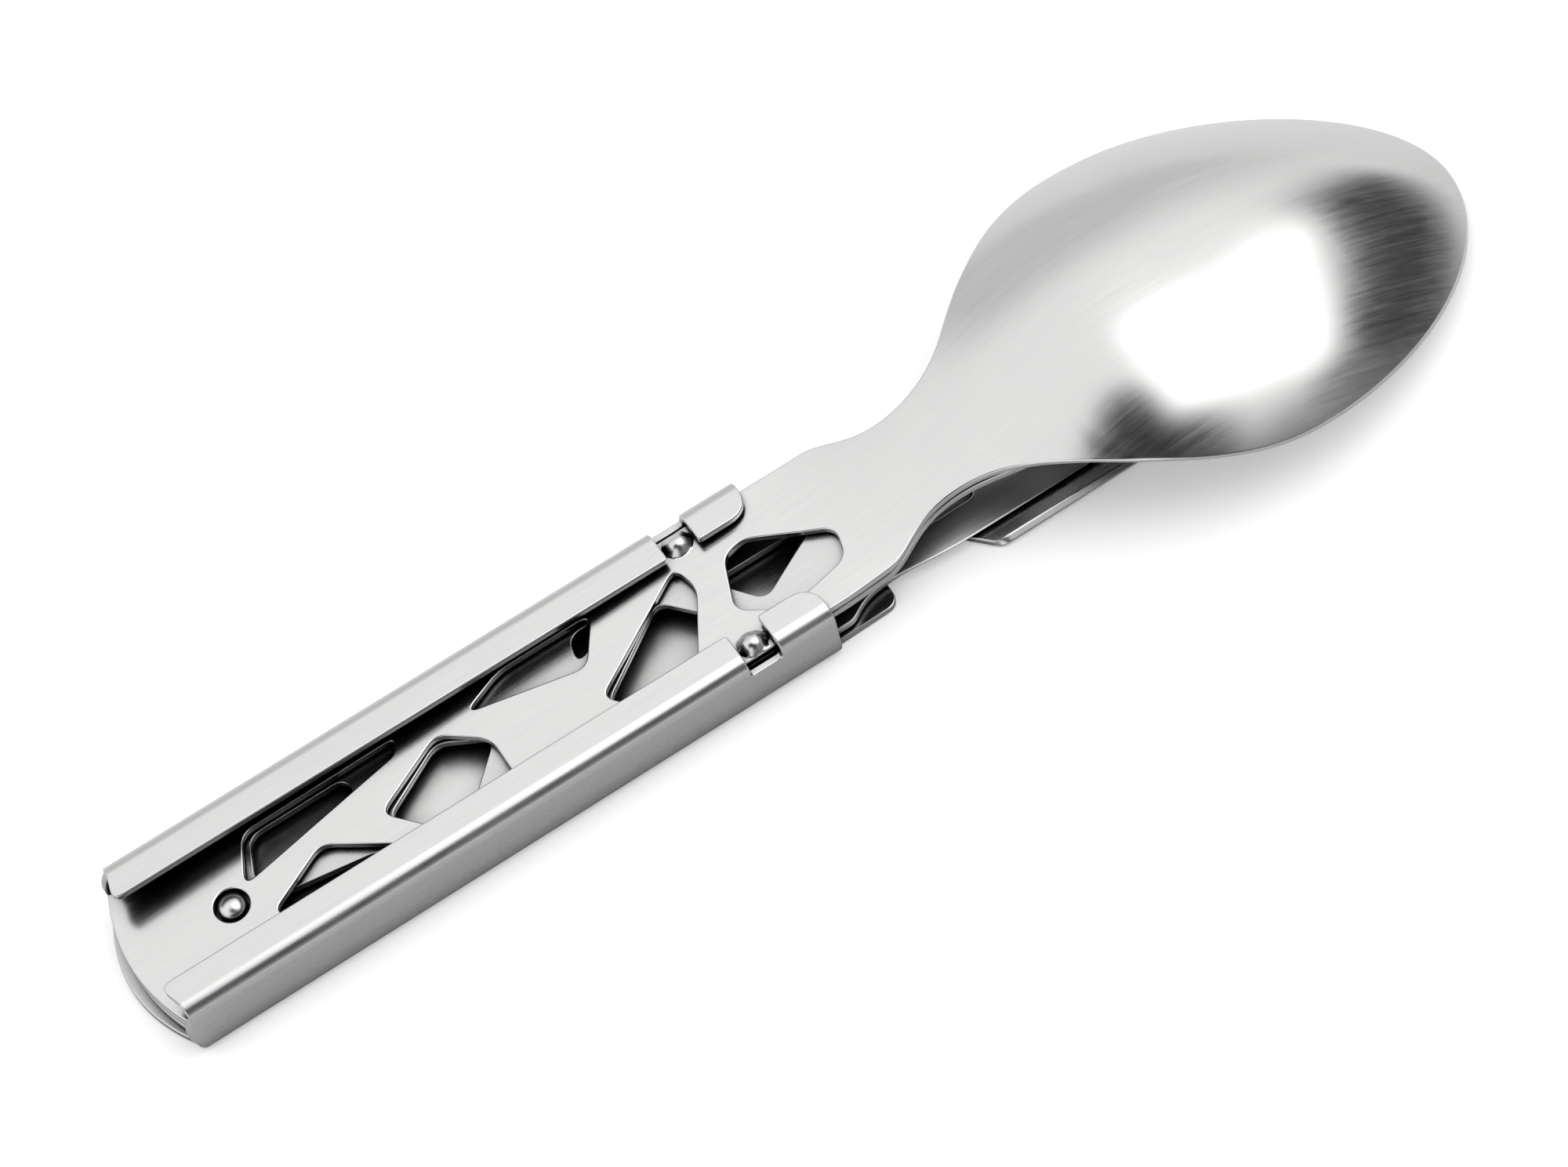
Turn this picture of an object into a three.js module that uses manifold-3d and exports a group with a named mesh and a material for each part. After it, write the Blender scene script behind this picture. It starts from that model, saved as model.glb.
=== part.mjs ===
// Nested picnic cutlery: a can opener whose handle is a folded sleeve, and a table knife,
// a fork and a spoon that are stacked inside the sleeve. A domed stud keeps the fork and the
// spoon in step. Millimetres, +Z up, the set lies on the sleeve's flat base.
// The pieces are drawn with x = 0 at the closed end of the sleeve's walls and +X towards the
// spoon's tip; the group then centres the whole set on its own origin.

import * as THREE from "three";
import { mergeVertices } from "three/addons/utils/BufferGeometryUtils.js";
import Module from "manifold-3d";

const wasm = await Module();
wasm.setup();

// Overall plan
const tipX = 181.4; // foremost point of the spoon's bowl
const sheet = 1.0; // spoon, fork and sleeve sheet
const endRise = 3.6; // how far the sleeve's base bulges past the walls at the closed end
const setCentreX = (tipX - endRise) / 2;

// Sleeve
const sleeveHalfWidth = 11.55;
const sleeveLength = 86.7;
const sleeveHeightClosed = 9.5;
const sleeveHeightMouth = 9.0;
const lowerBend = 1.2; // outside radius of the folds between base and walls
const upperBend = 2.0; // outside radius of the folds between walls and flanges
const flangeInnerY = 6.4; // half of the gap between the flanges
const wallBulge = 1.2; // how far the closed end of each wall bows out at mid height
const rearSetback = 0.9; // the rear wall and flange start this much further in
const windowStart = 75.0;
const windowEnd = 79.3;
const windowFloorZ = 6.5;

// Snap ears on the spoon's handle, inside the sleeve's windows
const earY = 8.3;
const earSize = { along: 1.75, across: 1.4, up: 0.6 };

// Opener head, the sleeve's base past the mouth
const tongueEndX = 95.5;
const tongueHalfWidth = 10.4;
const notchX = 97.5;
const notchY = 5.0;
const heelStartX = 104.0;
const beakX = 109.8;
const headEndX = 137.0;
const headRearY = 9.5;
const capHole = { x0: 116.0, x1: 130.0, halfWidthBack: 5.0, halfWidthFront: 7.0, corner: 2.2 };

// Stacked handles
const handleHalfWidth = 10.0;
const handleEndX = -2.4;
const handleEndRadius = 24.0;
const knifeBottomZ = 1.3;
const knifeThickness = 1.1;
const knifeWaistHalfWidth = 7.9;
const bladeHalfWidth = 8.6;
const knifeSlot = { x0: 76.0, x1: 110.4, halfWidth: 4.4, corner: 1.5 };
const spoonTopZ = 7.6; // at the sleeve's mouth
const forkDrop = 1.3; // from the spoon's top to the fork's, straight down
const handleTilt = 0.029; // the spoon and fork handles sink towards the closed end, per mm

// Outline shared by the spoon and the fork between the sleeve's mouth and the neck
const shoulderX = 89.5;
const shoulderEndX = 95.5;
const shoulderHalfWidth = 9.8;
const neckX = 105.3;
const neckHalfWidth = 6.8;
const flankX = 117.0; // where the neck's hollow curve turns into the bowl's round one
const flankHalfWidth = 11.4;

// Spoon bowl
const bowlX = 145.0; // widest section
const bowlHalfWidth = 24.1;
const bowlDepth = 9.6;
const bowlNeckReach = 27.8; // from the widest section back to where the dome meets the neck
const bowlTipReach = tipX - bowlX;
const rimHighX = 121.0;
const rimHighZ = 12.1;
const rimSlope = -0.168;
const neckRampStartX = 87.0;
const neckRampEndX = 136.0;
const neckArch = 0.005; // crosswise crown of the neck, per mm
const neckClimb = 7.4; // height the neck's ramp would gain if the dome didn't take over
const neckCrown = 1.4; // how far the neck's ridge stands over the rim's line
const neckSink = 0.25; // fall of the ridge below the dome, past the neck, per mm
const rampBlend = 1.5; // height band over which the neck's ramp melts into its ridge
const neckBlend = 2.6; // height band over which neck and dome melt together

// Fork head
const forkHalfWidth = 12.3;
const forkRootX = 131.0;
const forkTipX = 168.0;
const tineCount = 4;
const tineGap = 3.0;

// Stud and its hole
const studX = 11.0;
const studHoleRadius = 2.15; // in the spoon, round the head
const studRadius = 1.7;
const shankHoleRadius = 1.5; // in the fork
const shankRadius = 1.2;

function solidFrom(geometry) {
  const plain = geometry.index ? geometry.clone() : geometry;
  plain.deleteAttribute("normal");
  plain.deleteAttribute("uv");
  const merged = mergeVertices(plain, 1e-5);
  return new wasm.Manifold(new wasm.Mesh({
    numProp: 3,
    vertProperties: new Float32Array(merged.attributes.position.array),
    triVerts: new Uint32Array(merged.index.array),
  }));
}

function geometryFrom(solid) {
  const mesh = solid.getMesh();
  const geometry = new THREE.BufferGeometry();
  geometry.setAttribute("position", new THREE.BufferAttribute(mesh.vertProperties, 3));
  geometry.setIndex(new THREE.BufferAttribute(mesh.triVerts, 1));
  geometry.computeVertexNormals();
  return geometry;
}

// A plan outline raised from one height to another
function plate(shape, bottomZ, topZ, curveSegments = 6) {
  const geometry = new THREE.ExtrudeGeometry(shape, {
    depth: topZ - bottomZ,
    bevelEnabled: false,
    curveSegments,
  });
  geometry.translate(0, 0, bottomZ);
  return solidFrom(geometry);
}

// A side outline, drawn in x and z, spread from one y to another
function sidePlate(shape, lowY, highY) {
  const geometry = new THREE.ExtrudeGeometry(shape, {
    depth: highY - lowY,
    bevelEnabled: false,
    curveSegments: 8,
  });
  geometry.rotateX(Math.PI / 2);
  geometry.translate(0, highY, 0);
  return solidFrom(geometry);
}

function block(x0, x1, y0, y1, z0, z1) {
  const geometry = new THREE.BoxGeometry(x1 - x0, y1 - y0, z1 - z0);
  geometry.translate((x0 + x1) / 2, (y0 + y1) / 2, (z0 + z1) / 2);
  return solidFrom(geometry);
}

// A polygon whose corners are rounded by the given radius
function roundedPolygon(corners, radius) {
  const shape = new THREE.Shape();
  corners.forEach(([x, y], i) => {
    const here = new THREE.Vector2(x, y);
    const before = new THREE.Vector2(...corners.at(i - 1)).sub(here);
    const after = new THREE.Vector2(...corners[(i + 1) % corners.length]).sub(here);
    const reach = Math.min(radius, before.length() / 2.2, after.length() / 2.2);
    const enter = before.setLength(reach).add(here);
    const leave = after.setLength(reach).add(here);
    if (i === 0) shape.moveTo(enter.x, enter.y);
    else shape.lineTo(enter.x, enter.y);
    shape.quadraticCurveTo(x, y, leave.x, leave.y);
  });
  shape.closePath();
  return shape;
}

function smoothStep(low, high, value) {
  return THREE.MathUtils.smoothstep(value, low, high);
}

// Openings between two rails, like a truss, in the spoon's and the fork's handle
const spoonOpenings = [
  [[13.5, 1.3], [16.4, 7.2], [37.1, 7.0], [36.1, 5.2]],
  [[14.5, -3.8], [23.2, 0.4], [33.5, -7.2], [18.0, -7.2]],
  [[31.0, -0.5], [41.2, 4.4], [46.2, 0.1], [46.1, -7.2], [36.4, -7.2]],
  [[45.7, 4.7], [51.4, 7.0], [64.0, 6.8], [60.1, 1.1]],
  [[59.5, -3.4], [75.2, 6.0], [76.0, 2.2], [70.2, -7.4], [62.8, -7.4]],
  [[78.0, -3.2], [80.8, 3.7], [83.8, 4.3], [93.3, -1.2], [92.1, -5.2], [83.2, -6.9]],
];

const forkOpenings = [
  [[14.8, 1.6], [17.0, 7.0], [29.5, 6.8], [30.1, 4.8]],
  [[14.8, -1.3], [28.4, -3.8], [32.9, -7.2], [18.0, -7.2]],
  [[31.6, -0.8], [40.8, 4.1], [46.7, 0.6], [38.3, -7.2], [36.7, -7.2]],
  [[59.8, 2.9], [60.6, 6.5], [67.8, 6.5]],
  [[60.0, -3.7], [71.4, 4.0], [75.6, -1.2], [69.8, -7.4], [63.2, -7.4]],
  [[77.2, 3.4], [82.0, -3.4], [91.3, 1.4], [85.7, 5.3]],
];
const openingCorner = 1.6; // how far each rounded corner reaches along its sides

function openingCutters(openings, bottomZ, topZ) {
  return openings.map((corners) => plate(roundedPolygon(corners, openingCorner), bottomZ, topZ, 3));
}

function roundHoleCutter(radius, bottomZ, topZ) {
  const shape = new THREE.Shape();
  shape.absarc(studX, 0, radius, 0, 2 * Math.PI);
  return plate(shape, bottomZ, topZ, 20);
}

// The closed end of a handle is a shallow arc
function handleEndCorner() {
  const sagitta = handleEndRadius - Math.sqrt(handleEndRadius ** 2 - handleHalfWidth ** 2);
  return handleEndX + sagitta;
}

// Half outline of the spoon and fork handle, on the +Y side, from the neck back to the closed end
function traceHandleBack(shape, side) {
  shape.bezierCurveTo(100.5, side * neckHalfWidth, 98.5, side * 9.5, shoulderEndX, side * shoulderHalfWidth);
  shape.lineTo(shoulderX, side * handleHalfWidth);
  shape.lineTo(handleEndCorner(), side * handleHalfWidth);
}

function traceHandleForward(shape) {
  shape.lineTo(shoulderX, -handleHalfWidth);
  shape.lineTo(shoulderEndX, -shoulderHalfWidth);
  shape.bezierCurveTo(98.5, -9.5, 100.5, -neckHalfWidth, neckX, -neckHalfWidth);
}

function traceHandleEnd(shape) {
  shape.quadraticCurveTo(2 * handleEndX - handleEndCorner(), 0, handleEndCorner(), -handleHalfWidth);
}

function spoonOutline() {
  const shape = new THREE.Shape();
  shape.moveTo(neckX, -neckHalfWidth);
  shape.bezierCurveTo(110.3, -neckHalfWidth, 114.0, -8.9, flankX, -flankHalfWidth);
  shape.bezierCurveTo(125.5, -18.5, 133.5, -bowlHalfWidth, bowlX, -bowlHalfWidth);
  shape.bezierCurveTo(161.0, -bowlHalfWidth, tipX, -13.5, tipX, 0);
  shape.bezierCurveTo(tipX, 13.5, 161.0, bowlHalfWidth, bowlX, bowlHalfWidth);
  shape.bezierCurveTo(133.5, bowlHalfWidth, 125.5, 18.5, flankX, flankHalfWidth);
  shape.bezierCurveTo(114.0, 8.9, 110.3, neckHalfWidth, neckX, neckHalfWidth);
  traceHandleBack(shape, 1);
  traceHandleEnd(shape);
  traceHandleForward(shape);
  return shape;
}

function forkOutline() {
  const shape = new THREE.Shape();
  shape.moveTo(neckX, -neckHalfWidth);
  shape.bezierCurveTo(111.0, -neckHalfWidth, 115.5, -9.9, 126.0, -forkHalfWidth);
  shape.lineTo(forkTipX - 5, -forkHalfWidth);
  shape.lineTo(forkTipX, 2 - forkHalfWidth);
  shape.lineTo(forkTipX, forkHalfWidth - 2);
  shape.lineTo(forkTipX - 5, forkHalfWidth);
  shape.lineTo(126.0, forkHalfWidth);
  shape.bezierCurveTo(115.5, 9.9, 111.0, neckHalfWidth, neckX, neckHalfWidth);
  traceHandleBack(shape, 1);
  traceHandleEnd(shape);
  traceHandleForward(shape);
  return shape;
}

// The lower of two heights, melted together where they are close
function smoothMin(a, b, width) {
  const blend = Math.max(width - Math.abs(a - b), 0) / width;
  return Math.min(a, b) - blend * blend * width / 4;
}

// value ** power with a rounded bottom, still 0 at 0 and 1 at 1
function softPower(value, power) {
  const soft = 0.2;
  const low = soft ** power;
  const high = (1 + soft ** 2) ** (power / 2);
  return ((value ** 2 + soft ** 2) ** (power / 2) - low) / (high - low);
}

// Height of the spoon's upper skin: a flat handle, a rising neck and a tilted dome
function spoonHeight(x, y) {
  const handleZ = spoonTopZ - handleTilt * Math.max(neckRampStartX - x, 0);
  const rimZ = rimHighZ + rimSlope * (x - rimHighX);
  const ramp = smoothStep(neckRampStartX, neckRampEndX, x);
  const ridgeZ = rimZ + neckCrown - neckSink * Math.max(x - rimHighX, 0);
  const neckTop = smoothMin(handleZ + ramp * neckClimb, ridgeZ, rampBlend);
  const arch = neckArch * smoothStep(neckRampStartX, neckX, x);
  const neck = neckTop - arch * y * y;
  const across = softPower(Math.abs(y) / bowlHalfWidth, 1.667);
  const toTip = Math.max(x - bowlX, 0) / bowlTipReach;
  const toNeck = Math.max(bowlX - x, 0) / bowlNeckReach;
  const fall = x > bowlX ? (softPower(toTip, 1.75) + across) ** 1.38 : toNeck ** 2.7 + across ** 1.38;
  const dome = rimZ + bowlDepth * (1 - fall);
  return -smoothMin(-neck, -dome, neckBlend);
}

// A sheet of constant upright thickness under a height function, wide enough to be trimmed
function curvedSheet(height, thickness, halfWidth, endX) {
  const xs = [-5, 40, 75, 88];
  for (let x = neckRampStartX; x < endX + 2.4; x += 2.6) xs.push(x);
  const columns = Math.round(halfWidth / 2.5) * 2;
  const ys = Array.from({ length: columns + 1 }, (_, j) => halfWidth * (2 * j / columns - 1));
  const positions = [];
  for (const drop of [0, thickness]) {
    for (const x of xs) {
      for (const y of ys) positions.push(x, y, height(x, y) - drop);
    }
  }
  const layer = xs.length * ys.length;
  const at = (i, j, side) => side * layer + i * ys.length + j;
  const index = [];
  const quad = (a, b, c, d) => index.push(a, b, c, a, c, d);
  for (let i = 0; i < xs.length - 1; i += 1) {
    for (let j = 0; j < ys.length - 1; j += 1) {
      quad(at(i, j, 0), at(i + 1, j, 0), at(i + 1, j + 1, 0), at(i, j + 1, 0));
      quad(at(i, j, 1), at(i, j + 1, 1), at(i + 1, j + 1, 1), at(i + 1, j, 1));
    }
    const last = ys.length - 1;
    quad(at(i, 0, 0), at(i, 0, 1), at(i + 1, 0, 1), at(i + 1, 0, 0));
    quad(at(i, last, 0), at(i + 1, last, 0), at(i + 1, last, 1), at(i, last, 1));
  }
  for (let j = 0; j < ys.length - 1; j += 1) {
    const end = xs.length - 1;
    quad(at(0, j, 0), at(0, j + 1, 0), at(0, j + 1, 1), at(0, j, 1));
    quad(at(end, j, 0), at(end, j, 1), at(end, j + 1, 1), at(end, j + 1, 0));
  }
  const geometry = new THREE.BufferGeometry();
  geometry.setAttribute("position", new THREE.Float32BufferAttribute(positions, 3));
  geometry.setIndex(index);
  return solidFrom(geometry);
}

// A snap ear: a low dome pressed up near the edge of the spoon's handle, inside a sleeve window
function snapEar(side) {
  const geometry = new THREE.SphereGeometry(1, 16, 10);
  geometry.scale(earSize.along, earSize.across, earSize.up);
  const earX = (windowStart + windowEnd) / 2;
  const earZ = spoonHeight(earX, 0);
  geometry.translate(earX, side * earY, earZ);
  const lowestZ = earZ - sheet + 0.1;
  return solidFrom(geometry).intersect(block(70, 85, -12, 12, lowestZ, earZ + 2));
}

function makeSpoon() {
  let spoon = curvedSheet(spoonHeight, sheet, 27, tipX);
  spoon = spoon.intersect(plate(spoonOutline(), -5, 30, 10));
  for (const cutter of openingCutters(spoonOpenings, 0, 12)) spoon = spoon.subtract(cutter);
  spoon = spoon.subtract(roundHoleCutter(studHoleRadius, 0, 12));
  for (const side of [-1, 1]) spoon = spoon.add(snapEar(side));
  return spoon;
}

function makeFork() {
  const forkHeight = (x, y) => spoonHeight(x, y) - forkDrop;
  let fork = curvedSheet(forkHeight, sheet, 15, forkTipX);
  fork = fork.intersect(plate(forkOutline(), -5, 30, 6));
  for (const cutter of openingCutters(forkOpenings, 0, 12)) fork = fork.subtract(cutter);
  fork = fork.subtract(roundHoleCutter(shankHoleRadius, 0, 12));
  const pitch = (2 * forkHalfWidth + tineGap) / tineCount;
  for (let gap = 1; gap < tineCount; gap += 1) {
    const y = -forkHalfWidth - tineGap / 2 + gap * pitch;
    const slot = roundedPolygon([
      [forkRootX, y - tineGap / 2], [forkTipX + 3, y - tineGap / 2 - 0.3],
      [forkTipX + 3, y + tineGap / 2 + 0.3], [forkRootX, y + tineGap / 2],
    ], tineGap / 2);
    fork = fork.subtract(plate(slot, -5, 30, 4));
  }
  return fork;
}

// A flat table knife: a handle as wide as the others, a waist, and a round-ended blade
function makeKnife() {
  const shape = new THREE.Shape();
  const endCorner = handleEndCorner();
  shape.moveTo(endCorner, -handleHalfWidth);
  shape.lineTo(88.8, -handleHalfWidth);
  shape.bezierCurveTo(90.5, -handleHalfWidth, 91.0, -knifeWaistHalfWidth, 96.0, -knifeWaistHalfWidth);
  shape.bezierCurveTo(100.0, -knifeWaistHalfWidth, 101.0, -bladeHalfWidth, 108.0, -bladeHalfWidth);
  shape.lineTo(148.0, -bladeHalfWidth);
  shape.bezierCurveTo(160.0, -bladeHalfWidth, 167.5, -2.0, 167.5, 3.5);
  shape.bezierCurveTo(167.5, 6.5, 163.0, bladeHalfWidth, 158.0, bladeHalfWidth);
  shape.lineTo(108.0, bladeHalfWidth);
  shape.bezierCurveTo(101.0, bladeHalfWidth, 100.0, knifeWaistHalfWidth, 96.0, knifeWaistHalfWidth);
  shape.bezierCurveTo(91.0, knifeWaistHalfWidth, 90.5, handleHalfWidth, 88.8, handleHalfWidth);
  shape.lineTo(endCorner, handleHalfWidth);
  shape.quadraticCurveTo(2 * handleEndX - endCorner, 0, endCorner, -handleHalfWidth);
  const topZ = knifeBottomZ + knifeThickness;
  const slot = roundedPolygon([
    [knifeSlot.x0, -knifeSlot.halfWidth], [knifeSlot.x1, -knifeSlot.halfWidth],
    [knifeSlot.x1, knifeSlot.halfWidth], [knifeSlot.x0, knifeSlot.halfWidth],
  ], knifeSlot.corner);
  return plate(shape, knifeBottomZ, topZ, 8).subtract(plate(slot, 0, topZ + 1, 5));
}

function sleeveTopZ(x) {
  return THREE.MathUtils.mapLinear(x, 0, sleeveLength, sleeveHeightClosed, sleeveHeightMouth);
}

// The folded section, drawn in y and z: base, two walls and two inward flanges
function sleeveSection() {
  const shape = new THREE.Shape();
  const top = sleeveHeightClosed;
  const lowerY = sleeveHalfWidth - lowerBend;
  const upperY = sleeveHalfWidth - upperBend;
  const quarter = Math.PI / 2;
  shape.moveTo(flangeInnerY, top);
  shape.lineTo(flangeInnerY, top - sheet);
  shape.absarc(upperY, top - upperBend, upperBend - sheet, quarter, 0, true);
  shape.absarc(lowerY, lowerBend, lowerBend - sheet, 0, -quarter, true);
  shape.absarc(-lowerY, lowerBend, lowerBend - sheet, -quarter, -2 * quarter, true);
  shape.absarc(-upperY, top - upperBend, upperBend - sheet, 2 * quarter, quarter, true);
  shape.lineTo(-flangeInnerY, top - sheet);
  shape.lineTo(-flangeInnerY, top);
  shape.absarc(-upperY, top - upperBend, upperBend, quarter, 2 * quarter, false);
  shape.absarc(-lowerY, lowerBend, lowerBend, 2 * quarter, 3 * quarter, false);
  shape.absarc(lowerY, lowerBend, lowerBend, -quarter, 0, false);
  shape.absarc(upperY, top - upperBend, upperBend, 0, quarter, false);
  shape.closePath();
  return shape;
}

// The section drawn out along X, with its top sloping down towards the mouth
function sleeveTube() {
  const startX = -endRise - 1;
  const geometry = new THREE.ExtrudeGeometry(sleeveSection(), {
    depth: sleeveLength - startX,
    bevelEnabled: false,
    curveSegments: 4,
  });
  const yzx = new THREE.Matrix4().makeBasis(
    new THREE.Vector3(0, 1, 0),
    new THREE.Vector3(0, 0, 1),
    new THREE.Vector3(1, 0, 0),
  );
  geometry.applyMatrix4(yzx);
  geometry.translate(startX, 0, 0);
  const position = geometry.attributes.position;
  for (let i = 0; i < position.count; i += 1) {
    if (position.getZ(i) < sleeveHeightClosed / 2) continue;
    const change = sleeveTopZ(position.getX(i)) - sleeveHeightClosed;
    position.setZ(i, position.getZ(i) + change);
  }
  return solidFrom(geometry);
}

// Base of the sleeve at the closed end: one shallow arc from wall to wall
function sleeveBaseEnd() {
  const shape = new THREE.Shape();
  shape.moveTo(sleeveLength + 5, -20);
  shape.lineTo(sleeveLength + 5, 20);
  shape.lineTo(0.3, 20);
  shape.lineTo(0.3, sleeveHalfWidth);
  shape.quadraticCurveTo(-2 * endRise - 0.3, 0, 0.3, -sleeveHalfWidth);
  shape.lineTo(0.3, -20);
  shape.closePath();
  return plate(shape, -1, 1.6, 12);
}

// Both ends of the walls, seen from the side: bowed at the closed end, rounded at the mouth
function sleeveWallEnds() {
  const shape = new THREE.Shape();
  const topZ = sleeveHeightClosed;
  const corner = 1.6;
  shape.moveTo(0.3, 0);
  shape.lineTo(sleeveLength - corner, 0);
  shape.quadraticCurveTo(sleeveLength, 0, sleeveLength, corner);
  shape.lineTo(sleeveLength, topZ + 1);
  shape.lineTo(-0.2, topZ + 1);
  shape.lineTo(-0.2, topZ - 0.4);
  shape.bezierCurveTo(-1.3 * wallBulge, topZ * 0.75, -1.3 * wallBulge, topZ * 0.3, 0.3, 0);
  shape.closePath();
  const reach = sleeveHalfWidth - 1.4;
  const rear = sidePlate(shape, reach, sleeveHalfWidth + 1).translate([rearSetback, 0, 0]);
  const front = sidePlate(shape, -sleeveHalfWidth - 1, -reach);
  const pastMouth = block(sleeveLength, sleeveLength + 3, reach - 1, sleeveHalfWidth + 2, -1, 14);
  return rear.subtract(pastMouth).add(front);
}

// Both ends of each flange, seen from above, with rounded corners
function sleeveFlangeEnd(side) {
  const setback = side > 0 ? rearSetback : 0;
  const outline = [
    [setback + 0.4, side * (sleeveHalfWidth + 1)],
    [setback - 0.9, side * (flangeInnerY + 1)],
    [setback - 0.9, side * (flangeInnerY - 1)],
    [sleeveLength, side * (flangeInnerY - 1)],
    [sleeveLength, side * (sleeveHalfWidth + 1)],
  ];
  const keep = plate(roundedPolygon(outline, 0.4), sleeveHeightMouth - 1.4, 12, 3);
  const corner = new THREE.Shape();
  const radius = 2.6;
  corner.moveTo(sleeveLength + 1, side * (flangeInnerY - 1));
  corner.lineTo(sleeveLength + 1, side * (flangeInnerY + radius));
  corner.lineTo(sleeveLength, side * (flangeInnerY + radius));
  corner.quadraticCurveTo(sleeveLength, side * flangeInnerY, sleeveLength - radius, side * flangeInnerY);
  corner.lineTo(sleeveLength - radius, side * (flangeInnerY - 1));
  corner.closePath();
  return keep.subtract(plate(corner, 0, 14, 4));
}

// The opener head: a tongue, the notch that takes the can's rim, the slanted heel that pierces
// the lid, and a cap lifter hole
function openerHead() {
  const shape = new THREE.Shape();
  shape.moveTo(sleeveLength - 3, -tongueHalfWidth);
  shape.lineTo(tongueEndX - 3, -tongueHalfWidth);
  shape.quadraticCurveTo(tongueEndX, -tongueHalfWidth, tongueEndX, -tongueHalfWidth + 2.4);
  shape.quadraticCurveTo(tongueEndX, -notchY, notchX, -notchY);
  shape.lineTo(heelStartX - 2, -notchY);
  shape.quadraticCurveTo(heelStartX, -notchY, heelStartX + 0.6, -notchY - 1);
  shape.lineTo(beakX, -sleeveHalfWidth);
  shape.lineTo(headEndX - 8, -sleeveHalfWidth);
  shape.quadraticCurveTo(headEndX, -sleeveHalfWidth, headEndX, -3);
  shape.quadraticCurveTo(headEndX, headRearY, headEndX - 9, headRearY);
  shape.lineTo(beakX, headRearY);
  shape.quadraticCurveTo(notchX, 8, sleeveLength - 3, tongueHalfWidth);
  shape.closePath();
  const hole = roundedPolygon([
    [capHole.x0, -capHole.halfWidthBack], [capHole.x1, -capHole.halfWidthFront],
    [capHole.x1, capHole.halfWidthFront - 1.5], [capHole.x0, capHole.halfWidthBack - 1.5],
  ], capHole.corner);
  return plate(shape, 0, sheet, 8).subtract(plate(hole, -1, sheet + 1, 5));
}

function makeSleeve() {
  let keep = sleeveBaseEnd().add(sleeveWallEnds());
  for (const side of [-1, 1]) keep = keep.add(sleeveFlangeEnd(side));
  let sleeve = sleeveTube().intersect(keep);
  const reach = sleeveHalfWidth + 1;
  for (const side of [-1, 1]) {
    const lowY = side < 0 ? -reach : flangeInnerY - 1;
    const highY = side < 0 ? 1 - flangeInnerY : reach;
    sleeve = sleeve.subtract(block(windowStart, windowEnd, lowY, highY, windowFloorZ, 12));
  }
  return sleeve.add(openerHead());
}

// A domed rivet: its head sits on the fork and shows in the spoon's hole, and its shank ends
// flush with the underside of the fork
function makeStud() {
  const spoonZ = spoonHeight(studX, 0);
  const forkZ = spoonZ - forkDrop;
  const headZ = forkZ + 0.3;
  const domeBaseZ = spoonZ - 0.55;
  const domeTopZ = spoonZ + 0.45;
  const profile = [
    new THREE.Vector2(0, forkZ - sheet),
    new THREE.Vector2(shankRadius, forkZ - sheet),
    new THREE.Vector2(shankRadius, headZ),
    new THREE.Vector2(studRadius, headZ),
  ];
  const steps = 6;
  for (let i = 0; i <= steps; i += 1) {
    const angle = (i / steps) * Math.PI / 2;
    const radius = i === steps ? 0 : studRadius * Math.cos(angle);
    profile.push(new THREE.Vector2(radius, domeBaseZ + (domeTopZ - domeBaseZ) * Math.sin(angle)));
  }
  const geometry = new THREE.LatheGeometry(profile, 28);
  geometry.rotateX(Math.PI / 2);
  geometry.translate(studX, 0, 0);
  return solidFrom(geometry);
}

const steels = {
  sleeve: { color: 0xc9c9c8, roughness: 0.36 },
  knife: { color: 0xc4c4c3, roughness: 0.38 },
  fork: { color: 0xc6c6c5, roughness: 0.36 },
  spoon: { color: 0xcdcdcc, roughness: 0.3 },
  stud: { color: 0xd2d2d0, roughness: 0.2 },
};

function steelPiece(name, solid, steel) {
  const material = new THREE.MeshStandardMaterial({ ...steel, metalness: 1 });
  const mesh = new THREE.Mesh(geometryFrom(solid), material);
  mesh.name = name;
  return mesh;
}

const cutlery = new THREE.Group();
cutlery.position.x = -setCentreX;
cutlery.add(steelPiece("can_opener_sleeve", makeSleeve(), steels.sleeve));
cutlery.add(steelPiece("table_knife", makeKnife(), steels.knife));
cutlery.add(steelPiece("fork", makeFork(), steels.fork));
cutlery.add(steelPiece("spoon", makeSpoon(), steels.spoon));
cutlery.add(steelPiece("locating_stud", makeStud(), steels.stud));

export default cutlery;
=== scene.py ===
"""Nested picnic cutlery: finely meshed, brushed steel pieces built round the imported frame."""

import math

import bpy
import numpy as np
from mathutils import Matrix, Vector
from mathutils.geometry import delaunay_2d_cdt


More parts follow.
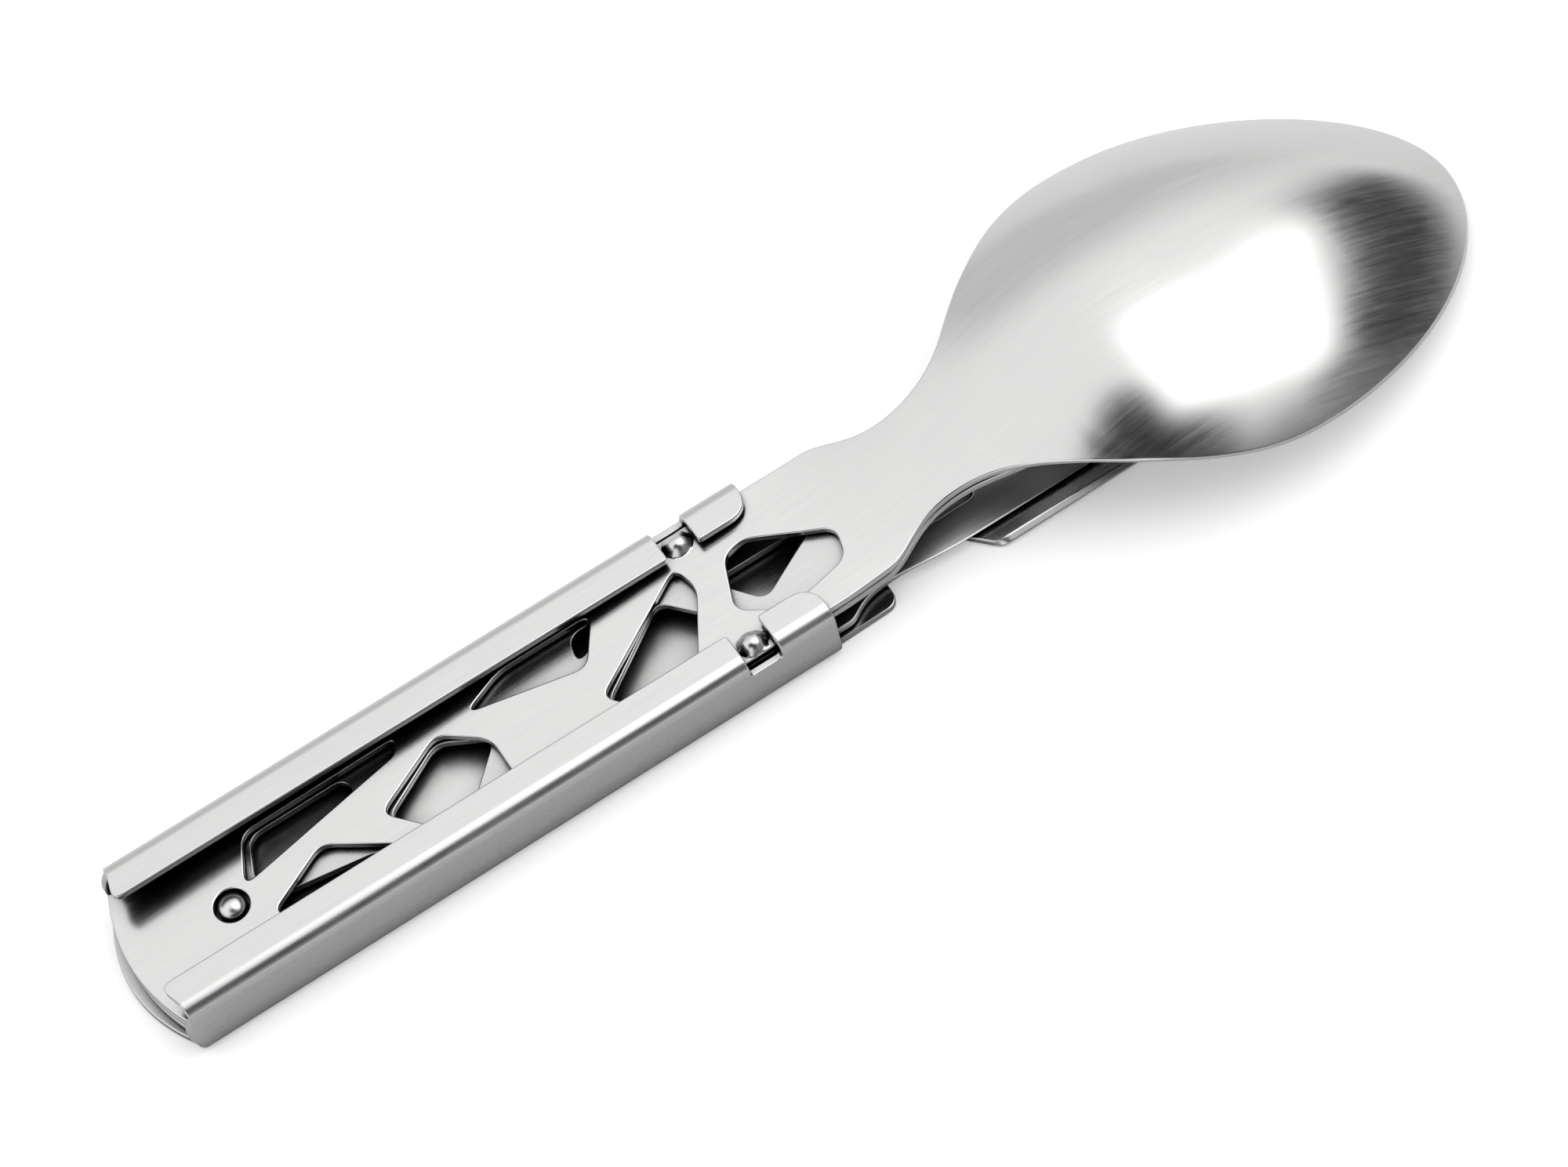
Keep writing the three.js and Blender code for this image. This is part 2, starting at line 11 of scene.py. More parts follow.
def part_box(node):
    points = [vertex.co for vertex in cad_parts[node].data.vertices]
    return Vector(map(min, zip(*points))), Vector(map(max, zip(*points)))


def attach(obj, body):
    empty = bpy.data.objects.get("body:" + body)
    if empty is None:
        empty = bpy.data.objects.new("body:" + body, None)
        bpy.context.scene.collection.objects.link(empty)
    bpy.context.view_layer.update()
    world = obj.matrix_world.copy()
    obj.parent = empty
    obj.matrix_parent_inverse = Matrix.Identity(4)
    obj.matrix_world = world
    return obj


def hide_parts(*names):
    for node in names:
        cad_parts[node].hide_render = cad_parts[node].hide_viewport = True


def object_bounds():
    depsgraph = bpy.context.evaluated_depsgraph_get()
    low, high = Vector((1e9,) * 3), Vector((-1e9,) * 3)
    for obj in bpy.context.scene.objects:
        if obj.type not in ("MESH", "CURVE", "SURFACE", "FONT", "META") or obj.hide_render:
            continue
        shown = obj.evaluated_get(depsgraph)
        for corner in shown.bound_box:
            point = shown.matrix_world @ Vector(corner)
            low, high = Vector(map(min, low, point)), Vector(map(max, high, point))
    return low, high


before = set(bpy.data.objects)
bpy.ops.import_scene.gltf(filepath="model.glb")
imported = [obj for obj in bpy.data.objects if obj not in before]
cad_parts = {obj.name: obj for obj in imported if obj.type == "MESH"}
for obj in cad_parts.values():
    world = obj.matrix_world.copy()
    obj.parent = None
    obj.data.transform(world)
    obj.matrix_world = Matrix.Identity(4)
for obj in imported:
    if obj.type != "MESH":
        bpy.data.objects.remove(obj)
cad_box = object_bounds()

# All shapes below are drawn in millimetres with x = 0 at the closed end of the sleeve's walls.
MM = 0.001
TIP_X = 181.4
START_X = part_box("spoon")[1][0] - TIP_X * MM  # where the drawing's x = 0 lies in the frame

# Sheet and its rounded edges
SHEET = 1.0
EDGE = 0.22
EDGE_STEPS = 4

# Stacked handles
HANDLE_HALF_WIDTH = 10.0
HANDLE_END_X = -2.4
HANDLE_END_RADIUS = 24.0
HANDLE_END_SAGITTA = HANDLE_END_RADIUS - math.sqrt(HANDLE_END_RADIUS ** 2 - HANDLE_HALF_WIDTH ** 2)
HANDLE_END_CORNER_X = HANDLE_END_X + HANDLE_END_SAGITTA
KNIFE_BOTTOM_Z = 1.3
KNIFE_THICKNESS = 1.1
KNIFE_WAIST_HALF_WIDTH = 7.9
SPOON_TOP_Z = 7.6
FORK_DROP = 1.3
HANDLE_TILT = 0.029

# Outline between the sleeve's mouth and the neck
SHOULDER_X = 89.5
SHOULDER_END_X = 95.5
SHOULDER_HALF_WIDTH = 9.8
NECK_X = 105.3
NECK_HALF_WIDTH = 6.8
FLANK_X = 117.0
FLANK_HALF_WIDTH = 11.4

# Spoon bowl
BOWL_X = 145.0
BOWL_HALF_WIDTH = 24.1
BOWL_DEPTH = 9.6
BOWL_NECK_REACH = 27.8
BOWL_TIP_REACH = TIP_X - BOWL_X
RIM_HIGH_X = 121.0
RIM_HIGH_Z = 12.1
RIM_SLOPE = -0.168
RIM_THINNING = 0.45  # share of the sheet that forming the bowl takes off towards its rim
RAMP_START_X = 87.0
RAMP_END_X = 136.0
NECK_ARCH = 0.005
NECK_CLIMB = 7.4
NECK_CROWN = 1.4
NECK_SINK = 0.25
RAMP_BLEND = 1.5
NECK_BLEND = 2.6

# Snap ears, pressed up from the spoon's handle inside the sleeve's windows
EAR_X = 77.15
EAR_Y = 8.3
EAR_REACH_X = 2.05
EAR_REACH_Y = 1.7
EAR_HEIGHT = 1.2

# Fork head
FORK_HALF_WIDTH = 12.3
FORK_ROOT_X = 131.0
FORK_TIP_X = 168.0
TINES = 4
TINE_GAP = 3.0

# Stud
STUD_X = 11.0
STUD_HOLE_RADIUS = 2.15
STUD_RADIUS = 1.8
STUD_DOME_SINK = 0.55  # how far the dome's foot lies below the spoon's face
STUD_DOME_HEIGHT = 1.0
STUD_GAP = 0.3  # clearance between the head and the fork
SHANK_HOLE_RADIUS = 1.5
SHANK_RADIUS = 1.2

# Sleeve
SLEEVE_HALF_WIDTH = 11.55
SLEEVE_LENGTH = 86.7
SLEEVE_TOP_CLOSED = 9.5
SLEEVE_TOP_MOUTH = 9.0
LOWER_BEND = 1.2
UPPER_BEND = 2.0
FLANGE_INNER_Y = 6.4
WALL_BULGE = 1.2
REAR_SETBACK = 0.9
END_RISE = 3.6
WINDOW_START = 75.0
WINDOW_END = 79.3
WINDOW_FLOOR_Z = 6.5

SPOON_OPENINGS = [
    [(13.5, 1.3), (16.4, 7.2), (37.1, 7.0), (36.1, 5.2)],
    [(14.5, -3.8), (23.2, 0.4), (33.5, -7.2), (18.0, -7.2)],
    [(31.0, -0.5), (41.2, 4.4), (46.2, 0.1), (46.1, -7.2), (36.4, -7.2)],
    [(45.7, 4.7), (51.4, 7.0), (64.0, 6.8), (60.1, 1.1)],
    [(59.5, -3.4), (75.2, 6.0), (76.0, 2.2), (70.2, -7.4), (62.8, -7.4)],
    [(78.0, -3.2), (80.8, 3.7), (83.8, 4.3), (93.3, -1.2), (92.1, -5.2), (83.2, -6.9)],
]
FORK_OPENINGS = [
    [(14.8, 1.6), (17.0, 7.0), (29.5, 6.8), (30.1, 4.8)],
    [(14.8, -1.3), (28.4, -3.8), (32.9, -7.2), (18.0, -7.2)],
    [(31.6, -0.8), (40.8, 4.1), (46.7, 0.6), (38.3, -7.2), (36.7, -7.2)],
    [(59.8, 2.9), (60.6, 6.5), (67.8, 6.5)],
    [(60.0, -3.7), (71.4, 4.0), (75.6, -1.2), (69.8, -7.4), (63.2, -7.4)],
    [(77.2, 3.4), (82.0, -3.4), (91.3, 1.4), (85.7, 5.3)],
]
OPENING_CORNER = 1.6


# --- plan outlines -------------------------------------------------------------------------

def smooth_step(low, high, value):
    t = min(max((value - low) / (high - low), 0.0), 1.0)
    return t * t * (3 - 2 * t)


def smooth_min(a, b, width):
    """The lower of two numbers, melted together where they are close."""
    blend = max(width - abs(a - b), 0.0) / width
    return min(a, b) - blend * blend * width / 4


def quadratic(a, b, c, count):
    return [(
        (1 - t) ** 2 * a[0] + 2 * t * (1 - t) * b[0] + t * t * c[0],
        (1 - t) ** 2 * a[1] + 2 * t * (1 - t) * b[1] + t * t * c[1],
    ) for t in (k / count for k in range(1, count + 1))]


def cubic(a, b, c, d, count):
    points = []
    for k in range(1, count + 1):
        t = k / count
        weights = ((1 - t) ** 3, 3 * t * (1 - t) ** 2, 3 * t * t * (1 - t), t ** 3)
        points.append(tuple(sum(w * p[i] for w, p in zip(weights, (a, b, c, d))) for i in (0, 1)))
    return points


def rounded(corners, reach, count=6):
    """A polygon whose corners are rounded; a corner may carry its own reach as a third value."""
    path = []
    for i, corner in enumerate(corners):
        here = Vector(corner[:2])
        before = Vector(corners[i - 1][:2]) - here
        after = Vector(corners[(i + 1) % len(corners)][:2]) - here
        wanted = corner[2] if len(corner) > 2 else reach
        if wanted == 0:
            path.append(tuple(here))
            continue
        limit = min(wanted, before.length / 2.2, after.length / 2.2)
        enter = here + before.normalized() * limit
        leave = here + after.normalized() * limit
        path.append(tuple(enter))
        path += quadratic(enter, here, leave, count)
    return path


def circle(x, y, radius, count):
    steps = (2 * math.pi * k / count for k in range(count))
    return [(x + radius * math.cos(a), y + radius * math.sin(a)) for a in steps]


def area(loop):
    pairs = zip(loop, loop[1:] + loop[:1])
    return sum(a[0] * b[1] - b[0] * a[1] for a, b in pairs) / 2


def turned(loop, counterclockwise):
    return loop if (area(loop) > 0) == counterclockwise else loop[::-1]


def resampled(loop, step):
    """The same closed loop with no side longer than step and no two points at one place."""
    points = []
    for a, b in zip(loop, loop[1:] + loop[:1]):
        length = math.dist(a, b)
        if length < 1e-4:
            continue
        pieces = max(1, math.ceil(length / step))
        points += [(a[0] + (b[0] - a[0]) * k / pieces, a[1] + (b[1] - a[1]) * k / pieces)
                   for k in range(pieces)]
    return points


def inward_normals(loop):
    """Mitred normals that point into the metal, which lies on the left of the loop."""
    normals = []
    for i, here in enumerate(loop):
        before = Vector(here) - Vector(loop[i - 1])
        after = Vector(loop[(i + 1) % len(loop)]) - Vector(here)
        left = (Vector((-before.y, before.x)).normalized(), Vector((-after.y, after.x)).normalized())
        total = left[0] + left[1]
        normals.append(total / max(1 + left[0].dot(left[1]), 0.5))
    return normals


def inside(points, loops):
    """Which plan points lie in the metal between the loops."""
    hit = np.zeros(len(points), dtype=bool)
    x, y = points[:, 0], points[:, 1]
    for loop in loops:
        for a, b in zip(loop, loop[1:] + loop[:1]):
            crosses = (a[1] > y) != (b[1] > y)
            if a[1] != b[1]:
                hit ^= crosses & (x < (b[0] - a[0]) * (y - a[1]) / (b[1] - a[1]) + a[0])
    return hit


def clear_of(points, loops, distance):
    """Which plan points keep a distance from every loop's points."""
    edge = np.array([p for loop in loops for p in loop])
    near = np.full(len(points), np.inf)
    for start in range(0, len(points), 2000):
        block = points[start:start + 2000]
        gaps = np.linalg.norm(block[:, None, :] - edge[None, :, :], axis=2)
        near[start:start + 2000] = gaps.min(axis=1)
    return near > distance


# --- sheets --------------------------------------------------------------------------------

def edge_rings(thickness):
    """Inset and depth of each ring round a sheet's edge, with the derivatives of both."""
    top = []
    for k in range(EDGE_STEPS + 1):
        a = math.pi / 2 * k / EDGE_STEPS
        top.append((EDGE * (1 - math.sin(a)), EDGE * (1 - math.cos(a)), -math.cos(a), math.sin(a)))
    bottom = [(inset, thickness - depth, -di, dd) for inset, depth, di, dd in reversed(top)]
    return top + bottom


def sheet_piece(name, loops, grid, place, thickness=SHEET):
    """A sheet-metal piece with rounded edges, as one closed mesh.

    loops are plan outlines with the metal on their left, grid holds the plan points that carry
    the surface, and place(u, v, depth) puts a plan point at a depth below the face into space."""
    rings = edge_rings(thickness)
    plan = []  # (u, v, depth) of each vertex
    tangents = []  # plan directions along and across the edge, None on the faces
    faces = []
    rim_plan = []
    rim_sides = []
    rim_top = []
    rim_bottom = []
    for loop in loops:
        normals = inward_normals(loop)
        size = len(loop)
        first = len(plan)
        for inset, depth, inset_rate, depth_rate in rings:
            for (u, v), n in zip(loop, normals):
                plan.append((u + n.x * inset, v + n.y * inset, depth))
                unit = n.normalized()
                across = (unit.x * inset_rate, unit.y * inset_rate, depth_rate)
                tangents.append(((unit.y, -unit.x, 0.0), across))
        for ring in range(len(rings) - 1):
            for i in range(size):
                j = (i + 1) % size
                a = first + ring * size
                b = a + size
                faces.append((a + i, b + i, b + j, a + j))
        start = len(rim_plan)
        rim_plan += [plan[first + i][:2] for i in range(size)]
        rim_sides += [(start + i, start + (i + 1) % size) for i in range(size)]
        rim_top += [first + i for i in range(size)]
        rim_bottom += [first + (len(rings) - 1) * size + i for i in range(size)]
    inset_loops = []
    at = 0
    for loop in loops:
        inset_loops.append(rim_plan[at:at + len(loop)])
        at += len(loop)
    points = np.array(grid)
    points = points[inside(points, inset_loops)]
    points = points[clear_of(points, inset_loops, 0.3)]
    inner = [tuple(p) for p in points]
    top_ids = rim_top + list(range(len(plan), len(plan) + len(inner)))
    plan += [(u, v, 0.0) for u, v in inner]
    bottom_ids = rim_bottom + list(range(len(plan), len(plan) + len(inner)))
    plan += [(u, v, thickness) for u, v in inner]
    tangents += [None] * (2 * len(inner))
    flat = [Vector(p) for p in rim_plan + inner]
    verts, _, tris, origins, _, _ = delaunay_2d_cdt(flat, rim_sides, [], 0, 1e-6, True)
    centres = np.array([[sum(verts[i][k] for i in tri) / 3 for k in (0, 1)] for tri in tris])
    for tri, keep in zip(tris, inside(centres, inset_loops)):
        if not keep:
            continue
        ids = [origins[i][0] for i in tri]
        faces.append(tuple(top_ids[i] for i in ids))
        faces.append(tuple(bottom_ids[i] for i in reversed(ids)))
    step = 1e-3
    coords = []
    normals = []
    for (u, v, depth), tangent in zip(plan, tangents):
        coords.append(place(u, v, depth))
        along_u = place(u + step, v, depth) - place(u - step, v, depth)
        along_v = place(u, v + step, depth) - place(u, v - step, depth)
        if tangent is None:
            normal = along_u.cross(along_v)
            if depth > 0:
                normal = -normal
        else:
            down = place(u, v, depth + step) - place(u, v, depth - step)
            along, across = tangent
            along = along_u * along[0] + along_v * along[1]
            across = along_u * across[0] + along_v * across[1] + down * across[2]
            normal = across.cross(along)
        normals.append(normal.normalized())
    return finished_piece(name, coords, faces, normals)


def finished_piece(name, coords, faces, normals):
    mesh = bpy.data.meshes.new(name)
    mesh.from_pydata([((c.x * MM + START_X), c.y * MM, c.z * MM) for c in coords], [], faces)
    mesh.validate()
    mesh.shade_smooth()
    mesh.normals_split_custom_set_from_vertices(normals)
    piece = bpy.data.objects.new(name, mesh)
    bpy.context.scene.collection.objects.link(piece)
    return piece


def grid_points(x_low, x_high, half_width, step):
    columns = math.ceil((x_high - x_low) / step)
    rows = math.ceil(2 * half_width / step)
    return [(x_low + (x_high - x_low) * i / columns, half_width * (2 * j / rows - 1))
            for i in range(columns + 1) for j in range(rows + 1)]


# --- spoon and fork ------------------------------------------------------------------------

def soft_power(value, power):
    """value ** power with a rounded bottom, still 0 at 0 and 1 at 1."""
    soft = 0.2
    low = soft ** power
    return ((value * value + soft * soft) ** (power / 2) - low) / ((1 + soft * soft) ** (power / 2) - low)


def spoon_height(x, y):
    """Upper skin of the spoon: a flat handle, a rising neck and a tilted dome."""
    handle_z = SPOON_TOP_Z - HANDLE_TILT * max(RAMP_START_X - x, 0.0)
    rim_z = RIM_HIGH_Z + RIM_SLOPE * (x - RIM_HIGH_X)
    ramp = smooth_step(RAMP_START_X, RAMP_END_X, x)
    ridge_z = rim_z + NECK_CROWN - NECK_SINK * max(x - RIM_HIGH_X, 0.0)
    neck = smooth_min(handle_z + ramp * NECK_CLIMB, ridge_z, RAMP_BLEND)
    neck -= NECK_ARCH * smooth_step(RAMP_START_X, NECK_X, x) * y * y
    across = soft_power(y / BOWL_HALF_WIDTH, 1.667)
    if x > BOWL_X:
        fall = (soft_power((x - BOWL_X) / BOWL_TIP_REACH, 1.75) + across) ** 1.38
    else:
        fall = ((BOWL_X - x) / BOWL_NECK_REACH) ** 2.7 + across ** 1.38
    dome = rim_z + BOWL_DEPTH * (1 - fall)
    return -smooth_min(-neck, -dome, NECK_BLEND)


def ear_height(x, y):
    """How far the snap ears stand up from the handle."""
    reach = math.hypot((x - EAR_X) / EAR_REACH_X, (abs(y) - EAR_Y) / EAR_REACH_Y)
    return EAR_HEIGHT * (1 - reach ** 2.5) ** 1.5 if reach < 1 else 0.0


def bowl_thinning(x, y):
    """How much of the sheet's thickness is left: all of it on the handle, less at the bowl's rim."""
    to_tip = (x - BOWL_X) / (BOWL_TIP_REACH if x > BOWL_X else BOWL_NECK_REACH)
    reach = math.hypot(to_tip, y / BOWL_HALF_WIDTH)
    return 1 - RIM_THINNING * smooth_step(NECK_X, FLANK_X + 8, x) * smooth_step(0.4, 1.0, reach)


def place_spoon(x, y, depth):
    return Vector((x, y, spoon_height(x, y) + ear_height(x, y) - depth * bowl_thinning(x, y)))


def place_fork(x, y, depth):
    return Vector((x, y, spoon_height(x, y) - FORK_DROP - depth))


def handle_path(count=10):
    """From the neck's +Y side back round the closed end to the neck's -Y side."""
    back = cubic((NECK_X, NECK_HALF_WIDTH), (100.5, NECK_HALF_WIDTH), (98.5, 9.5),
                 (SHOULDER_END_X, SHOULDER_HALF_WIDTH), count)
    back.append((SHOULDER_X, HANDLE_HALF_WIDTH))
    corner = (HANDLE_END_CORNER_X, HANDLE_HALF_WIDTH)
    back.append(corner)
    control = (2 * HANDLE_END_X - HANDLE_END_CORNER_X, 0)
    end = quadratic(corner, control, (corner[0], -corner[1]), 40)
    forward = [(x, -y) for x, y in reversed(back[:-1])]
    return back + end + forward + [(NECK_X, -NECK_HALF_WIDTH)]


def spoon_loops():
    half = cubic((NECK_X, -NECK_HALF_WIDTH), (110.3, -NECK_HALF_WIDTH), (114.0, -8.9),
                 (FLANK_X, -FLANK_HALF_WIDTH), 20)
    half += cubic((FLANK_X, -FLANK_HALF_WIDTH), (125.5, -18.5), (133.5, -BOWL_HALF_WIDTH),
                  (BOWL_X, -BOWL_HALF_WIDTH), 50)
    half += cubic((BOWL_X, -BOWL_HALF_WIDTH), (161.0, -BOWL_HALF_WIDTH), (TIP_X, -13.5), (TIP_X, 0), 80)
    other = [(x, -y) for x, y in reversed(half[:-1])]
    outer = half + other + [(NECK_X, NECK_HALF_WIDTH)] + handle_path()
    holes = [rounded(corners, OPENING_CORNER) for corners in SPOON_OPENINGS]
    holes.append(circle(STUD_X, 0, STUD_HOLE_RADIUS, 48))
    return [resampled(turned(outer, True), 0.6)] + [resampled(turned(h, False), 0.5) for h in holes]


def make_spoon():
    ears = [(EAR_X, side * EAR_Y) for side in (-1, 1)]
    grid = grid_points(-2, SHOULDER_X, 10, 1.6) + grid_points(SHOULDER_X + 0.9, 181, 24, 0.9)
    grid = [p for p in grid if min(math.dist(p, ear) for ear in ears) > 2.4]
    for x, y in ears:
        for ring in range(12):
            radius = 0.2 * ring
            count = max(1, round(2 * math.pi * radius / 0.22))
            grid += circle(x, y, radius, count)
    return sheet_piece("brushed_spoon", spoon_loops(), grid, place_spoon)


def fork_loops():
    half = cubic((NECK_X, -NECK_HALF_WIDTH), (111.0, -NECK_HALF_WIDTH), (115.5, -9.9),
                 (126.0, -FORK_HALF_WIDTH), 30)
    # Each tine is a straight bar with a rounded, slightly pointed end
    pitch = (2 * FORK_HALF_WIDTH + TINE_GAP) / TINES
    width = pitch - TINE_GAP
    path = list(half)
    for tine in range(TINES):
        low = -FORK_HALF_WIDTH + tine * pitch
        high = low + width
        tip = [(FORK_TIP_X - 7, low), (FORK_TIP_X - 1.2, low + 0.75), (FORK_TIP_X - 1.2, high - 0.75),
               (FORK_TIP_X - 7, high)]
        path.append(tip[0])
        path += quadratic(tip[0], (FORK_TIP_X - 3, low), tip[1], 8)
        path += quadratic(tip[1], (FORK_TIP_X + 1.2, (low + high) / 2), tip[2], 10)
        path += quadratic(tip[2], (FORK_TIP_X - 3, high), tip[3], 8)
        if tine < TINES - 1:
            root = TINE_GAP / 2
            path.append((FORK_ROOT_X + root, high))
            middle = high + root
            arc = [math.pi * k / 12 for k in range(1, 12)]
            path += [(FORK_ROOT_X + root - root * math.sin(a), middle - root * math.cos(a)) for a in arc]
            path.append((FORK_ROOT_X + root, high + TINE_GAP))
    path += [(x, -y) for x, y in reversed(half)]
    outer = path + [(NECK_X, NECK_HALF_WIDTH)] + handle_path()
    holes = [rounded(corners, OPENING_CORNER) for corners in FORK_OPENINGS]
    holes.append(circle(STUD_X, 0, SHANK_HOLE_RADIUS, 36))
    return [resampled(turned(outer, True), 0.6)] + [resampled(turned(h, False), 0.5) for h in holes]


def make_fork():
    grid = grid_points(-2, SHOULDER_X, 10, 1.6) + grid_points(SHOULDER_X + 0.9, 168, 12, 1.0)
    return sheet_piece("brushed_fork", fork_loops(), grid, place_fork)


# --- knife ---------------------------------------------------------------------------------

BLADE_START_X = 94.0
BLADE_END_X = 167.5
BLADE_HALF_WIDTH = 8.6
BLADE_BEVEL = 4.2  # how far the ground bevel reaches in from the cutting edge
BLADE_THINNING = 0.45  # metal that the bevel takes off each face at the very edge


def knife_loops():
    handle, waist, blade = HANDLE_HALF_WIDTH, KNIFE_WAIST_HALF_WIDTH, BLADE_HALF_WIDTH
    path = [(HANDLE_END_CORNER_X, -handle), (88.8, -handle)]
    path += cubic(path[-1], (90.5, -handle), (91.0, -waist), (96.0, -waist), 12)
    path += cubic(path[-1], (100.0, -waist), (101.0, -blade), (108.0, -blade), 12)
    path.append((148.0, -blade))
    path += cubic(path[-1], (160.0, -blade), (BLADE_END_X, -2.0), (BLADE_END_X, 3.5), 30)
    path += cubic(path[-1], (BLADE_END_X, 6.5), (163.0, blade), (158.0, blade), 14)
    path.append((108.0, blade))
    path += cubic(path[-1], (101.0, blade), (100.0, waist), (96.0, waist), 12)
    path += cubic(path[-1], (91.0, waist), (90.5, handle), (88.8, handle), 12)
    corner = (HANDLE_END_CORNER_X, handle)
    path.append(corner)
    control = (2 * HANDLE_END_X - HANDLE_END_CORNER_X, 0)
    path += quadratic(corner, control, (corner[0], -corner[1]), 40)[:-1]
    slot = rounded([(76.0, -4.4), (110.4, -4.4), (110.4, 4.4), (76.0, 4.4)], 1.5, 8)
    return [resampled(turned(path, True), 0.6), resampled(turned(slot, False), 0.5)]


def cutting_edge_y(x):
    """The blade's lower outline: straight, then curving up to the tip."""
    if x < 148:
        return -BLADE_HALF_WIDTH
    reach = min((x - 148) / (BLADE_END_X - 148), 1.0)
    return -BLADE_HALF_WIDTH + 12.1 * (1 - math.sqrt(max(1 - reach ** 2.2, 0.0)))


def place_knife(x, y, depth):
    start = smooth_step(BLADE_START_X, BLADE_START_X + 5, x)
    gap = max(y - cutting_edge_y(x), 0.0)
    taper = start * BLADE_THINNING * max(1 - gap / BLADE_BEVEL, 0.0)
    share = 1 - 2 * depth / KNIFE_THICKNESS
    return Vector((x, y, KNIFE_BOTTOM_Z + KNIFE_THICKNESS - depth - taper * share))


def make_knife():
    grid = grid_points(-2, BLADE_START_X, 10, 1.6) + grid_points(BLADE_START_X + 0.8, 167, 9, 0.8)
    return sheet_piece("brushed_table_knife", knife_loops(), grid, place_knife, KNIFE_THICKNESS)


# --- sleeve and opener head ----------------------------------------------------------------

BASE_EDGE = SLEEVE_HALF_WIDTH - LOWER_BEND  # where the lower fold starts
TOP_EDGE = SLEEVE_HALF_WIDTH - UPPER_BEND  # where the upper fold ends in the flat flange
LOWER_FOLD = LOWER_BEND * math.pi / 2
UPPER_FOLD = UPPER_BEND * math.pi / 2
BENDS = LOWER_BEND + UPPER_BEND
WALL_START = BASE_EDGE + LOWER_FOLD
WALL = (SLEEVE_TOP_CLOSED + SLEEVE_TOP_MOUTH) / 2 - BENDS
WALL_END = WALL_START + WALL
FLANGE_START = WALL_END + UPPER_FOLD
FLANGE_END = FLANGE_START + TOP_EDGE - FLANGE_INNER_Y


def place_sleeve(x, v, depth):
    """Folds the flat blank: v runs out over the base, up a wall and in along its flange."""
    slope = (SLEEVE_TOP_MOUTH - SLEEVE_TOP_CLOSED) / SLEEVE_LENGTH
    top = SLEEVE_TOP_CLOSED + slope * min(max(x, 0.0), SLEEVE_LENGTH)
    side = 1 if v > 0 else -1
    out = abs(v)
    lower = LOWER_BEND - SHEET + depth
    upper = UPPER_BEND - SHEET + depth
    if out <= BASE_EDGE:
        return Vector((x, v, SHEET - depth))
    if out <= WALL_START:
        angle = (out - BASE_EDGE) / LOWER_BEND
        y = BASE_EDGE + lower * math.sin(angle)
        z = LOWER_BEND - lower * math.cos(angle)
    elif out <= WALL_END:
        y = BASE_EDGE + lower
        z = LOWER_BEND + (out - WALL_START) / WALL * (top - BENDS)
    elif out <= FLANGE_START:
        angle = (out - WALL_END) / UPPER_BEND
        y = TOP_EDGE + upper * math.cos(angle)
        z = top - UPPER_BEND + upper * math.sin(angle)
    else:
        y = TOP_EDGE - (out - FLANGE_START)
        z = top - UPPER_BEND + upper
    return Vector((x, side * y, z))


def closed_end(side, setback):
    """The blank's edge at the closed end, from the base's middle out to the flange's inner edge."""
    path = []
    for k in range(1, 25):
        y = SLEEVE_HALF_WIDTH * k / 24
        if y > BASE_EDGE:
            break
        path.append((0.3 - (END_RISE + 0.3) * (1 - (y / SLEEVE_HALF_WIDTH) ** 2), side * y))
    start = path[-1][0]
    for k in range(1, 7):
        path.append((start + (0.25 + setback - start) * k / 6, side * (BASE_EDGE + LOWER_FOLD * k / 6)))
    for k in range(1, 13):
        t = k / 12
        bow = -WALL_BULGE * math.sin(math.pi * t) ** 0.8
        path.append((0.25 + setback + bow - 0.35 * t, side * (WALL_START + WALL * t)))
    for k in range(1, 7):
        path.append((setback - 0.1 - 0.1 * k / 6, side * (WALL_END + UPPER_FOLD * k / 6)))
    path.append((setback - 0.75, side * (FLANGE_END - 1.2)))
    path += quadratic(path[-1], (setback - 0.9, side * FLANGE_END), (setback + 0.3, side * FLANGE_END), 6)
    return path


def mouth_side(side):
    """From the flange's inner edge before the window down to the foot of the wall at the mouth."""
    floor_v = WALL_START + WALL * (WINDOW_FLOOR_Z - LOWER_BEND) / (SLEEVE_TOP_MOUTH - BENDS)
    v = [FLANGE_END, floor_v]
    corners = [
        (WINDOW_START, side * v[0], 0.5), (WINDOW_START, side * v[1], 0.5),
        (WINDOW_END, side * v[1], 0.7), (WINDOW_END, side * v[0], 0.4),
        (SLEEVE_LENGTH, side * v[0], 3.4), (SLEEVE_LENGTH, side * (BASE_EDGE + 0.4), 2.4),
        (SLEEVE_LENGTH - 1.7, side * (BASE_EDGE + 0.35), 0.25),
    ]
    return corners


def sleeve_outline():
    """The flat blank's outline, counterclockwise, starting at the middle of the closed end."""
    front = closed_end(-1, 0)
    rear = closed_end(1, REAR_SETBACK)
    notch_y = 5.0
    heel_x = 104.0
    beak_x = 109.8
    tongue_x = 95.5
    head_x = 137.0
    head_rear = 9.5
    tongue_half = 10.4
    head = [
        (tongue_x, -tongue_half, 2.6), (tongue_x, -notch_y - 1.2, 1.8), (97.5, -notch_y, 1.0),
        (heel_x, -notch_y, 1.6), (beak_x, -SLEEVE_HALF_WIDTH, 0.9),
        (head_x, -SLEEVE_HALF_WIDTH, 8.5), (head_x, head_rear, 9.0), (beak_x, head_rear, 6.0),
        (98.0, 8.0, 5.0), (SLEEVE_LENGTH + 1, tongue_half, 2.0),
    ]
    corners = [(x, v, 0) for x, v in front]
    corners += mouth_side(-1) + head + list(reversed(mouth_side(1)))
    corners += [(x, v, 0) for x, v in reversed(rear)]
    corners.append((-END_RISE, 0, 0))
    return rounded(corners, 1.0, 8)


